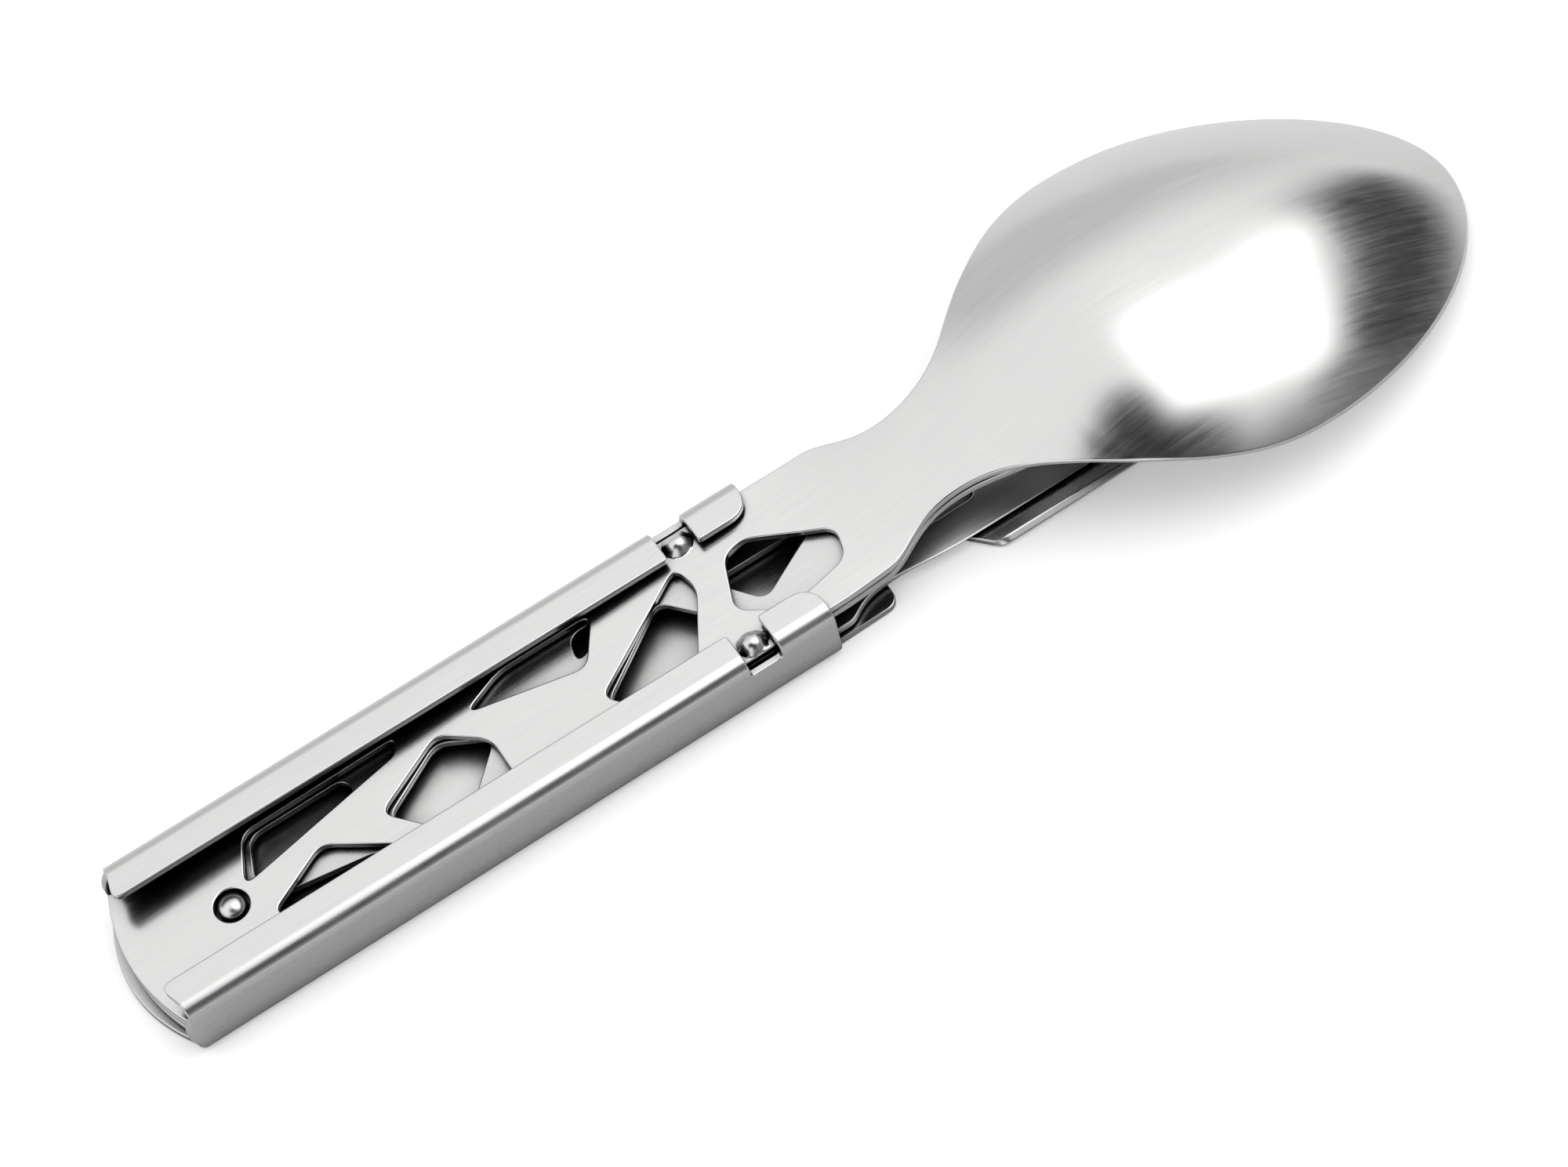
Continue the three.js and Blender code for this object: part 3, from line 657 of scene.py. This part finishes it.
def sleeve_loops():
    hole = rounded([(116.0, -5.0), (130.0, -7.0), (130.0, 5.5), (116.0, 3.5)], 2.2, 8)
    outer = resampled(turned(sleeve_outline(), True), 0.4)
    return [outer, resampled(turned(hole, False), 0.5)]


def sleeve_grid():
    rows = [BASE_EDGE * k / 8 for k in range(8)]
    rows += [BASE_EDGE + LOWER_FOLD * k / 10 for k in range(11)]
    rows += [WALL_START + WALL * k / 6 for k in range(1, 6)]
    rows += [WALL_END + UPPER_FOLD * k / 14 for k in range(15)]
    rows += [FLANGE_START + (FLANGE_END - FLANGE_START) * k / 4 for k in range(1, 4)]
    columns = [-3 + 1.5 * k for k in range(94)]
    return [(x, side * v) for x in columns for v in rows for side in (-1, 1) if v > 0 or side > 0]


def make_sleeve():
    return sheet_piece("brushed_opener_sleeve", sleeve_loops(), sleeve_grid(), place_sleeve)


# --- stud ----------------------------------------------------------------------------------

def make_stud():
    """A domed rivet head on a short shank, turned round its own axis."""
    spoon_z = spoon_height(STUD_X, 0)
    fork_z = spoon_z - FORK_DROP
    foot_z = fork_z - SHEET
    head_z = fork_z + STUD_GAP
    dome_z = spoon_z - STUD_DOME_SINK
    # Each profile point is a radius, a height and its normal, outward and upward
    profile = [
        (0.0, foot_z, 0, -1), (SHANK_RADIUS - 0.15, foot_z, 0, -1),
        (SHANK_RADIUS, foot_z + 0.15, 1, -0.2), (SHANK_RADIUS, head_z - 0.02, 1, 0),
        (SHANK_RADIUS + 0.02, head_z, 0, -1), (STUD_RADIUS - 0.12, head_z, 0.2, -1),
        (STUD_RADIUS, head_z + 0.12, 1, -0.1), (STUD_RADIUS, dome_z, 1, 0.05),
    ]
    for k in range(1, 13):
        a = math.pi / 2 * k / 12
        out, up = math.cos(a), math.sin(a)
        profile.append((STUD_RADIUS * out, dome_z + STUD_DOME_HEIGHT * up, out, up))
    turns = 64
    coords = []
    normals = []
    faces = []
    for radius, z, out, up in profile[1:-1]:
        for k in range(turns):
            a = 2 * math.pi * k / turns
            coords.append(Vector((STUD_X + radius * math.cos(a), radius * math.sin(a), z)))
            normals.append(Vector((out * math.cos(a), out * math.sin(a), up)).normalized())
    rows = len(profile) - 2
    for row in range(rows - 1):
        for k in range(turns):
            j = (k + 1) % turns
            faces.append((row * turns + k, row * turns + j, (row + 1) * turns + j, (row + 1) * turns + k))
    foot = len(coords)
    coords.append(Vector((STUD_X, 0, profile[0][1])))
    normals.append(Vector((0, 0, -1)))
    coords.append(Vector((STUD_X, 0, profile[-1][1])))
    normals.append(Vector((0, 0, 1)))
    last = (rows - 1) * turns
    for k in range(turns):
        j = (k + 1) % turns
        faces.append((foot, j, k))
        faces.append((foot + 1, last + k, last + j))
    return finished_piece("domed_stud", coords, faces, normals)


# --- materials -----------------------------------------------------------------------------

def node(tree, kind, **values):
    made = tree.nodes.new(kind)
    for key, value in values.items():
        setattr(made, key, value)
    return made


def streaks(tree, scale, detail):
    """Fine brushing: noise that is drawn out along the object's X axis."""
    where = node(tree, "ShaderNodeTexCoord")
    stretch = node(tree, "ShaderNodeMapping")
    stretch.inputs["Scale"].default_value = scale
    noise = node(tree, "ShaderNodeTexNoise")
    noise.inputs["Scale"].default_value = 1.0
    noise.inputs["Detail"].default_value = detail
    noise.inputs["Roughness"].default_value = 0.6
    tree.links.new(where.outputs["Object"], stretch.inputs["Vector"])
    tree.links.new(stretch.outputs["Vector"], noise.inputs["Vector"])
    return noise.outputs["Fac"]


def remap(tree, value, low, high, to_low, to_high, smooth=False):
    change = node(tree, "ShaderNodeMapRange")
    if smooth:
        change.interpolation_type = "SMOOTHSTEP"
    for key, number in zip(("From Min", "From Max", "To Min", "To Max"), (low, high, to_low, to_high)):
        change.inputs[key].default_value = number
    tree.links.new(value, change.inputs["Value"])
    return change.outputs["Result"]


def math_node(tree, operation, first, second):
    made = node(tree, "ShaderNodeMath", operation=operation)
    for socket, value in zip(made.inputs, (first, second)):
        if isinstance(value, (int, float)):
            socket.default_value = value
        else:
            tree.links.new(value, socket)
    return made.outputs[0]


GROOVE_TONE = 0.96  # tone of the brushing's grooves against the ridges
BUMP_STRENGTH = 0.07
BUMP_DEPTH = 0.00002
# Painted shade in hollows and between parts: the steel's colour is darkened to a small share of its tone
# where other surfaces close in
PAINTED_SHADE_REACH = 0.008  # how near another surface has to be for the painted shade to darken the steel between them
PAINTED_SHADE_TONE = 0.06
PAINTED_SHADE_CLOSED = 0.28  # open share of the view at which the painted shade is darkest
PAINTED_SHADE_OPEN = 0.72  # and from which it keeps its own tone


def brushed_steel(name, tone, roughness, scratch=1.0, across_z=4000.0):
    """Satin steel with lengthwise brushing and faint blotches; painted shade darkens it where surfaces
    nearly meet.

    across_z is how finely the brushing varies with height: low on a bowl or a flat handle,
    where it would cut the scratches short, and as high as across Y on upright walls."""
    material = bpy.data.materials.new(name)
    material.use_nodes = True
    tree = material.node_tree
    shader = tree.nodes["Principled BSDF"]
    shader.inputs["Metallic"].default_value = 1.0
    fine = streaks(tree, (220.0, 4000.0, across_z), 3)
    broad = streaks(tree, (70.0, 1300.0, across_z / 3), 2)
    cloud = streaks(tree, (140.0, 140.0, 140.0), 3)
    grain = math_node(tree, "ADD", fine, broad)
    low_rough = roughness - 0.04 * scratch
    high_rough = roughness + 0.05 * scratch
    rough_grain = remap(tree, grain, 0.6, 1.4, low_rough, high_rough)
    rough_cloud = remap(tree, cloud, 0.35, 0.65, -0.015, 0.02)
    tree.links.new(math_node(tree, "ADD", rough_grain, rough_cloud), shader.inputs["Roughness"])
    ramp = node(tree, "ShaderNodeValToRGB")
    grooves, ridges = ramp.color_ramp.elements
    grooves.position = 0.35
    ridges.position = 0.65
    dark = tone * GROOVE_TONE
    grooves.color = (dark, dark, dark * 0.995, 1)
    ridges.color = (tone, tone, tone * 0.99, 1)
    half = math_node(tree, "MULTIPLY", grain, 0.5)
    tree.links.new(half, ramp.inputs["Fac"])
    # Painted shade: ambient occlusion darkens the base colour where other surfaces lie close, as in hollows
    # and between nested parts
    shade = node(tree, "ShaderNodeAmbientOcclusion", samples=6)
    shade.inputs["Distance"].default_value = PAINTED_SHADE_REACH
    tree.links.new(ramp.outputs["Color"], shade.inputs["Color"])
    open_share = remap(tree, shade.outputs["AO"], PAINTED_SHADE_CLOSED, PAINTED_SHADE_OPEN, PAINTED_SHADE_TONE, 1, smooth=True)
    steel = node(tree, "ShaderNodeVectorMath", operation="SCALE")
    tree.links.new(ramp.outputs["Color"], steel.inputs[0])
    tree.links.new(open_share, steel.inputs["Scale"])
    tree.links.new(steel.outputs[0], shader.inputs["Base Color"])
    bump = node(tree, "ShaderNodeBump")
    bump.inputs["Strength"].default_value = BUMP_STRENGTH * scratch
    bump.inputs["Distance"].default_value = BUMP_DEPTH
    tree.links.new(half, bump.inputs["Height"])
    tree.links.new(bump.outputs["Normal"], shader.inputs["Normal"])
    return material


def dress(piece, material, body, slot, *nodes):
    piece.data.materials.append(material)
    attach(piece, body)
    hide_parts(*nodes)


# --- stage, light and camera ----------------------------------------------------------------

FLOOR_FRONT = 0.62  # floor tone the steel sees in front of the set, darkened there as painted shade
FLOOR_BACK = 0.9
FLOOR_SEEN = 0.74  # what the camera sees, with a little painted glow that keeps shadows light
FLOOR_GLOW = 0.36
FLOOR_HALF = 3
BRIGHTNESS = 1.28
SOFTBOX = 1.1
BACKDROP = 1.1  # the world's strength as the camera sees it


def make_stage():
    floor = bpy.data.meshes.new("floor")
    corners = [(FLOOR_HALF * x, FLOOR_HALF * y, 0) for x, y in ((-1, -1), (1, -1), (1, 1), (-1, 1))]
    floor.from_pydata(corners, [], [(0, 1, 2, 3)])
    stage = bpy.data.objects.new("floor", floor)
    bpy.context.scene.collection.objects.link(stage)
    stage.location.z = cad_box[0][2] - 0.0001
    paint = bpy.data.materials.new("pale_floor")
    paint.use_nodes = True
    tree = paint.node_tree
    shader = tree.nodes["Principled BSDF"]
    shader.inputs["Roughness"].default_value = 0.9
    shader.inputs["Specular IOR Level"].default_value = 0.1
    axes = node(tree, "ShaderNodeSeparateXYZ")
    tree.links.new(node(tree, "ShaderNodeTexCoord").outputs["Object"], axes.inputs[0])
    # Painted shade: the floor as the steel sees it darkens towards the front, along a slightly slanted line
    slant = math_node(tree, "ADD", axes.outputs["Y"], math_node(tree, "MULTIPLY", axes.outputs["X"], 0.25))
    reflected = remap(tree, slant, -0.015, 0.02, FLOOR_FRONT, FLOOR_BACK, smooth=True)
    seen = node(tree, "ShaderNodeLightPath").outputs["Is Camera Ray"]
    tone = node(tree, "ShaderNodeMix", data_type="FLOAT")
    tree.links.new(seen, tone.inputs[0])
    tree.links.new(reflected, tone.inputs[2])
    tone.inputs[3].default_value = FLOOR_SEEN
    tree.links.new(tone.outputs[0], shader.inputs["Base Color"])
    # Painted light: for camera rays the floor glows, which keeps its shadows light
    shader.inputs["Emission Color"].default_value = (1, 1, 1, 1)
    tree.links.new(math_node(tree, "MULTIPLY", seen, FLOOR_GLOW), shader.inputs["Emission Strength"])
    stage.data.materials.append(paint)


def towards(tree, sight, direction, none_at, full_at):
    """1 for sight lines within full_at degrees of a direction, 0 beyond none_at degrees."""
    along = node(tree, "ShaderNodeVectorMath", operation="DOT_PRODUCT")
    along.inputs[1].default_value = Vector(direction).normalized()
    tree.links.new(sight, along.inputs[0])
    low, high = (math.cos(math.radians(angle)) for angle in (none_at, full_at))
    return remap(tree, along.outputs["Value"], low, high, 0, 1, smooth=True)


def make_world():
    """A white tent with a soft-edged overhead box, darker camera and front sides, a dark low band
    on the right and a greyer back. The camera itself sees a plain white world."""
    world = bpy.data.worlds.new("studio")
    world.use_nodes = True
    tree = world.node_tree
    sight = node(tree, "ShaderNodeTexCoord").outputs["Generated"]
    axes = node(tree, "ShaderNodeSeparateXYZ")
    tree.links.new(sight, axes.inputs[0])
    x, y, z = axes.outputs
    # The box is a soft rectangle over the set, sharper on its far right side
    box = remap(tree, x, -0.10, 0.26, 0, 1, smooth=True)
    for value, low, high in ((x, 0.84, 0.72), (y, -0.60, -0.44), (y, 0.50, 0.18), (z, 0.40, 0.55)):
        box = math_node(tree, "MULTIPLY", box, remap(tree, value, low, high, 0, 1, smooth=True))
    camera_side = towards(tree, sight, (-0.30, -0.42, 0.857), 27, 7)
    front_side = towards(tree, sight, (0.03, -0.74, 0.67), 25, 9)
    low = remap(tree, z, 0.62, 0.46, 0, 1, smooth=True)
    above_floor = remap(tree, z, 0.02, 0.16, 0, 1, smooth=True)
    rightward = math_node(tree, "ADD", math_node(tree, "MULTIPLY", x, 0.80),
                          math_node(tree, "MULTIPLY", y, -0.60))
    right_side = remap(tree, rightward, 0.15, 0.50, 0, 1, smooth=True)
    not_in_front = remap(tree, y, -0.70, -0.35, 0.78, 1, smooth=True)
    band = math_node(tree, "MULTIPLY", math_node(tree, "MULTIPLY", low, above_floor), right_side)
    band = math_node(tree, "MULTIPLY", band, not_in_front)
    back = remap(tree, y, 0.55, 0.85, 1.0, 0.68, smooth=True)
    light = math_node(tree, "MULTIPLY", back, BRIGHTNESS)
    for shade, left in ((camera_side, 0.04), (front_side, 0.08), (band, 0.05)):
        light = math_node(tree, "MULTIPLY", light, remap(tree, shade, 0, 1, 1, left))
    light = math_node(tree, "ADD", light, math_node(tree, "MULTIPLY", box, SOFTBOX))
    background = tree.nodes["Background"]
    background.inputs["Color"].default_value = (1, 1, 1, 1)
    tree.links.new(light, background.inputs["Strength"])
    plain = node(tree, "ShaderNodeBackground")
    plain.inputs["Strength"].default_value = BACKDROP
    path = node(tree, "ShaderNodeLightPath")
    choose = node(tree, "ShaderNodeMixShader")
    tree.links.new(path.outputs["Is Camera Ray"], choose.inputs[0])
    tree.links.new(background.outputs[0], choose.inputs[1])
    tree.links.new(plain.outputs[0], choose.inputs[2])
    tree.links.new(choose.outputs[0], tree.nodes["World Output"].inputs["Surface"])
    bpy.context.scene.world = world


def make_camera():
    """The camera looks down on the set from its front left, turned so that the set runs uphill."""
    azimuth = math.radians(-19.36)
    elevation = math.radians(58.72)
    roll = math.radians(-15.25)
    aim = Vector((-0.0034, -0.0008, 0.0023))
    distance = 0.5749
    toward = Vector((math.sin(azimuth) * math.cos(elevation), -math.cos(azimuth) * math.cos(elevation),
                     math.sin(elevation)))
    level = Vector((math.cos(azimuth), math.sin(azimuth), 0))
    upright = toward.cross(level)
    right = math.cos(roll) * level + math.sin(roll) * upright
    up = -math.sin(roll) * level + math.cos(roll) * upright
    data = bpy.data.cameras.new("camera")
    data.lens = 112.5
    data.sensor_width = 36.0
    data.clip_start = 0.01
    camera = bpy.data.objects.new("camera", data)
    turn = Matrix((right, up, toward)).transposed().to_4x4()
    camera.matrix_world = Matrix.Translation(aim + toward * distance) @ turn
    bpy.context.scene.collection.objects.link(camera)
    bpy.context.scene.camera = camera


# --- the set --------------------------------------------------------------------------------

make_camera()
make_stage()
make_world()

sleeve_steel = brushed_steel("sleeve_steel", 0.60, 0.26)
dress(make_sleeve(), sleeve_steel, "opener", "sleeve_steel", "can_opener_sleeve")
dress(make_knife(), brushed_steel("knife_steel", 0.68, 0.34, 1, 300), "knife", "knife_steel", "table_knife")
dress(make_fork(), brushed_steel("fork_steel", 0.58, 0.26, 1, 300), "fork", "fork_steel", "fork")
dress(make_spoon(), brushed_steel("spoon_steel", 0.62, 0.20, 1, 300), "spoon", "spoon_steel", "spoon")
dress(make_stud(), brushed_steel("stud_steel", 0.66, 0.30, 0.4), "fork", "stud_steel", "locating_stud")

bpy.context.scene.view_settings.view_transform = "Standard"
bpy.context.scene.view_settings.gamma = 0.88
